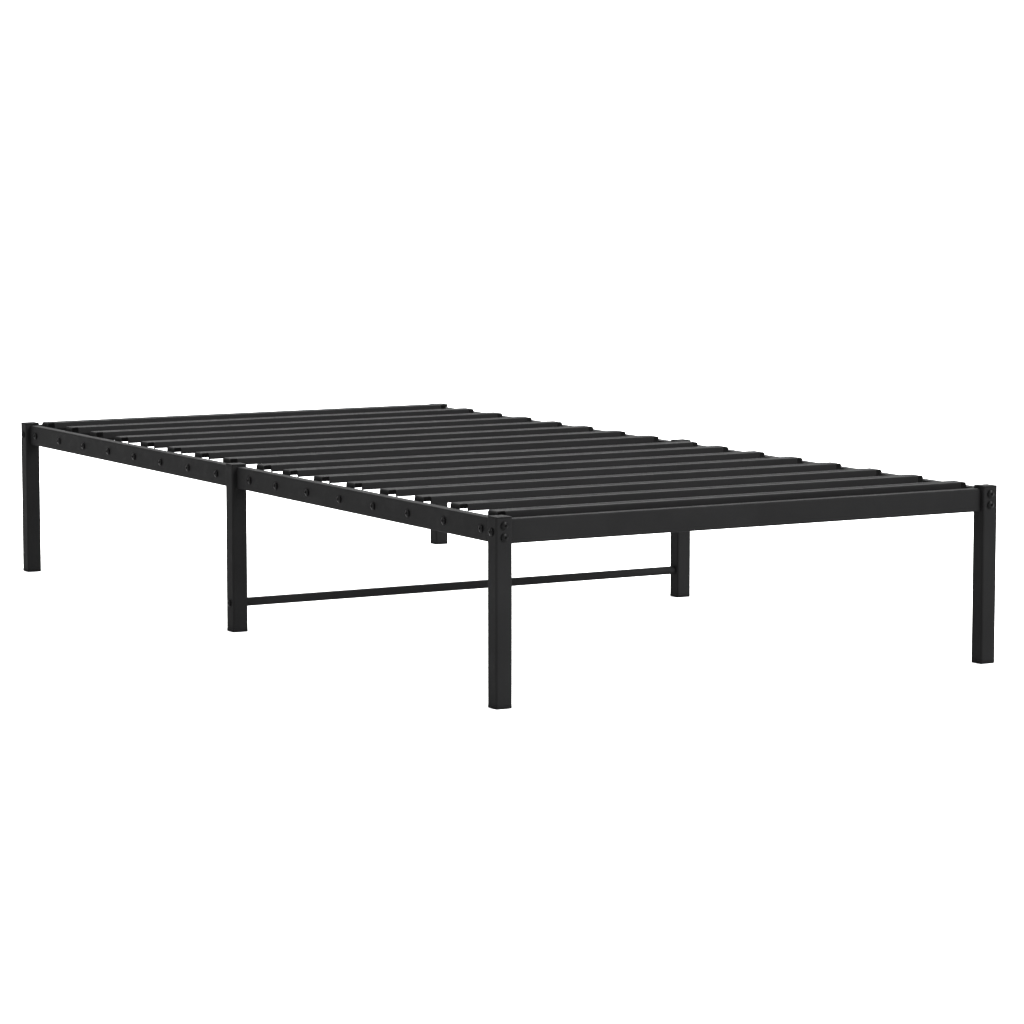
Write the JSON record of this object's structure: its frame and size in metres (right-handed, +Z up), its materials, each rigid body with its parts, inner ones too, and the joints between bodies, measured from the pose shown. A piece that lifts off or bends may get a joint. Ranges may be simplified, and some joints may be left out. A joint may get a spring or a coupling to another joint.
{
  "type": "metal bed frame",
  "caption": "Low single platform bed frame: square tube legs, bolted rectangular side and end rails, pressed steel slats and a low tie rod between the middle legs.",
  "frame": {"origin": "on the floor, in the middle of the footprint", "axes": "+X across the bed to the right seen from the foot end, +Y along the bed towards the head end, +Z up"},
  "size_m": [1.0082, 2.0332, 0.315],
  "materials": {
    "powder_coat": "fine-textured satin black powder coat",
    "plastic": "moulded black plastic",
    "bolt_steel": "black-oxide steel with a slight sheen"
  },
  "bodies": {
    "root": {"leg_tube_foot_left": "powder_coat", "leg_tube_foot_right": "powder_coat", "leg_tube_head_left": "powder_coat", "leg_tube_head_right": "powder_coat", "leg_tube_middle_left": "powder_coat", "leg_tube_middle_right": "powder_coat", "foot_plug_foot_left": "plastic", "foot_plug_foot_right": "plastic", "foot_plug_head_left": "plastic", "foot_plug_head_right": "plastic", "foot_plug_middle_left": "plastic", "foot_plug_middle_right": "plastic", "leg_cap_foot_left": "plastic", "leg_cap_foot_right": "plastic", "leg_cap_head_left": "plastic", "leg_cap_head_right": "plastic", "leg_cap_middle_left": "plastic", "leg_cap_middle_right": "plastic", "side_rail_foot_left": "powder_coat", "side_rail_foot_right": "powder_coat", "side_rail_head_left": "powder_coat", "side_rail_head_right": "powder_coat", "end_rail_foot": "powder_coat", "end_rail_head": "powder_coat", "tie_rod": "powder_coat", "slat_01": "powder_coat", "slat_02": "powder_coat", "slat_03": "powder_coat", "slat_04": "powder_coat", "slat_05": "powder_coat", "slat_06": "powder_coat", "slat_07": "powder_coat", "slat_08": "powder_coat", "slat_09": "powder_coat", "slat_10": "powder_coat", "slat_11": "powder_coat", "slat_12": "powder_coat", "slat_13": "powder_coat", "slat_14": "powder_coat", "slat_15": "powder_coat", "slat_16": "powder_coat", "bolt_foot_left_side": "bolt_steel", "bolt_foot_left_upper": "bolt_steel", "bolt_foot_left_lower": "bolt_steel", "bolt_foot_right_side": "bolt_steel", "bolt_foot_right_upper": "bolt_steel", "bolt_foot_right_lower": "bolt_steel", "bolt_head_left_side": "bolt_steel", "bolt_head_left_upper": "bolt_steel", "bolt_head_left_lower": "bolt_steel", "bolt_head_right_side": "bolt_steel", "bolt_head_right_upper": "bolt_steel", "bolt_head_right_lower": "bolt_steel", "bolt_middle_left": "bolt_steel", "bolt_middle_right": "bolt_steel"}
  },
  "joints": []
}
